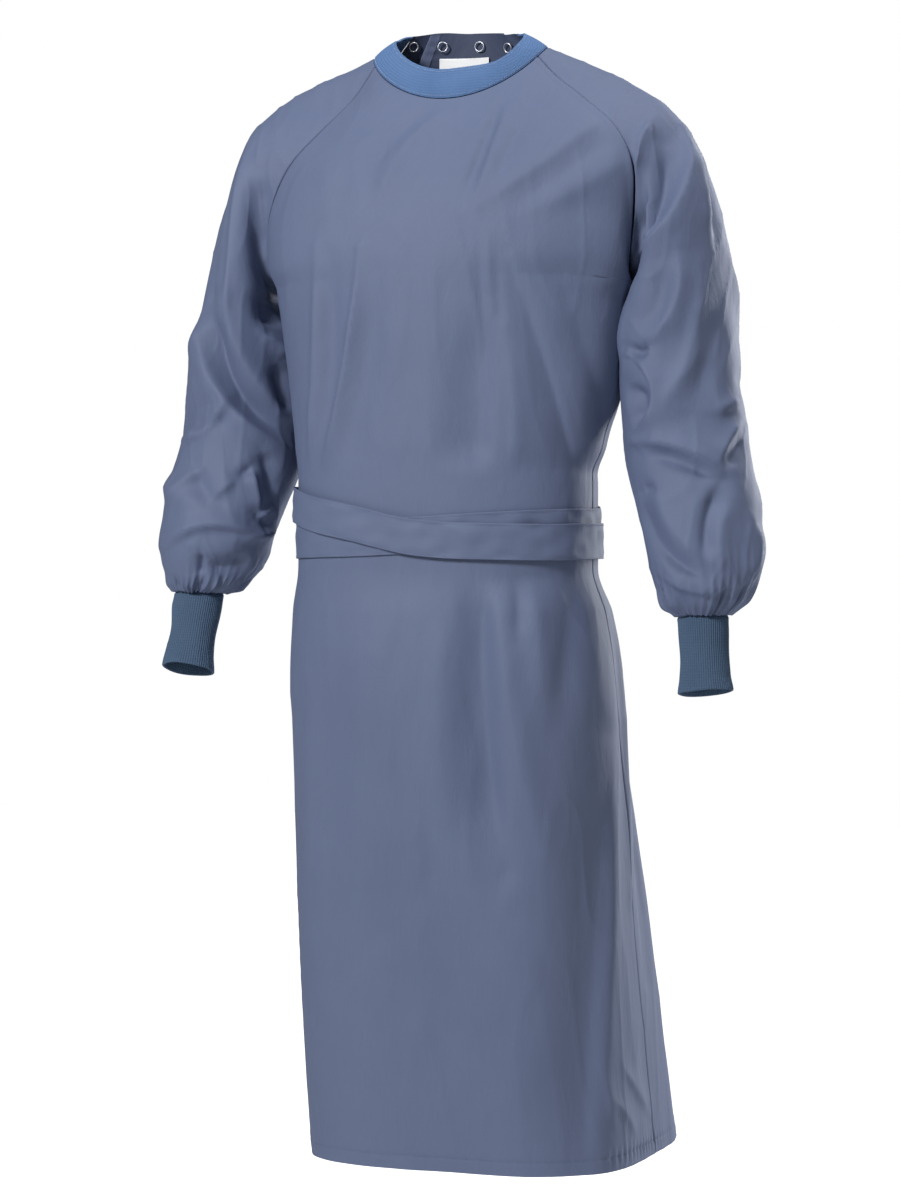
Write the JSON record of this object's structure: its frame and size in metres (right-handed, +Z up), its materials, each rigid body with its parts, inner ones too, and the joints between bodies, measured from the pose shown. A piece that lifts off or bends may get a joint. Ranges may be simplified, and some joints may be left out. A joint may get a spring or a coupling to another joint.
{
  "type": "surgical gown",
  "caption": "Long-sleeved surgical gown in worn shape, open down the overlapped back, with a rib-knit neck band and cuffs and a cloth belt wrapped round the waist.",
  "frame": {"origin": "between the wearer's shoulders, at the middle of the neck opening, where the wearer holds the gown up", "axes": "+Z up, -Y towards the gown's front, +X towards the wearer's left"},
  "size_m": [0.7155, 0.4214, 1.2815],
  "materials": {
    "gown_cloth": "matt woven polyester",
    "belt_cloth": "matt woven polyester, folded and stitched",
    "rib_knit_light": "fine rib knit",
    "rib_knit_dark": "fine rib knit",
    "label_tape": "blank woven tape",
    "snap_steel": "bright pressed metal"
  },
  "bodies": {
    "root": {"front_panel": "gown_cloth", "back_panel_under": "gown_cloth", "back_panel_over": "gown_cloth", "sleeve_left": "gown_cloth", "sleeve_right": "gown_cloth", "neck_band": "rib_knit_light", "cuff_left": "rib_knit_dark", "cuff_right": "rib_knit_dark", "belt": "belt_cloth", "belt_knot": "belt_cloth", "neck_label": "label_tape", "snap_ring_1": "snap_steel", "snap_ring_2": "snap_steel", "snap_ring_3": "snap_steel", "snap_ring_4": "snap_steel"}
  },
  "joints": []
}
